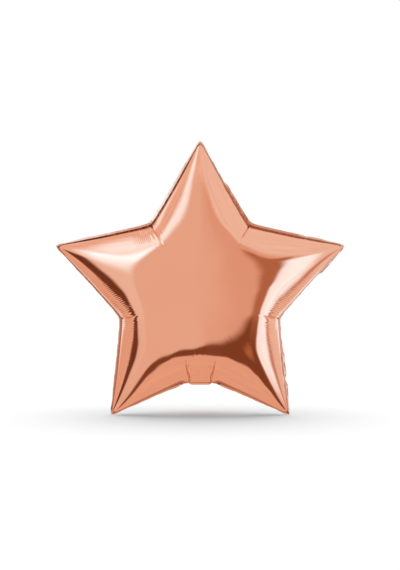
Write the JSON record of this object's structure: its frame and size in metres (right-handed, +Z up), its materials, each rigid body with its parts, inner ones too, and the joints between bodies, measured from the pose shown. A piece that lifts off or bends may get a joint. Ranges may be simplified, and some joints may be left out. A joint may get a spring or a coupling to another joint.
{
  "type": "star foil balloon",
  "caption": "Inflated star-shaped foil balloon with domed faces, a welded edge margin and a hinged filling tail that holds a self-sealing film valve.",
  "frame": {"origin": "middle of the fold line at the neck, in the lowest notch, where the tail hinges and a ribbon is tied", "axes": "+Z up through the top point of the star, +X to the right seen from the front, the front faces -Y; the weld lies in the XZ plane"},
  "size_m": [0.4032, 0.1462, 0.3835],
  "materials": {
    "copper_foil": "metallised polyester film, copper to rose gold, mirror gloss with fine puckers along the weld",
    "clear_film": "thin clear polyethylene valve film, soft gloss"
  },
  "bodies": {
    "balloon": {"front_foil": "copper_foil", "back_foil": "copper_foil", "valve_front_film": "clear_film", "valve_back_film": "clear_film"},
    "tail": {"tail_front_foil": "copper_foil", "tail_back_foil": "copper_foil", "tail_valve_front_film": "clear_film", "tail_valve_back_film": "clear_film"}
  },
  "joints": [
    {"name": "tail_fold", "type": "hinge", "parent": "balloon", "child": "tail", "pos_m": [0, 0, 0], "axis": [-1, 0, 0], "range_deg": [0, 180]}
  ]
}
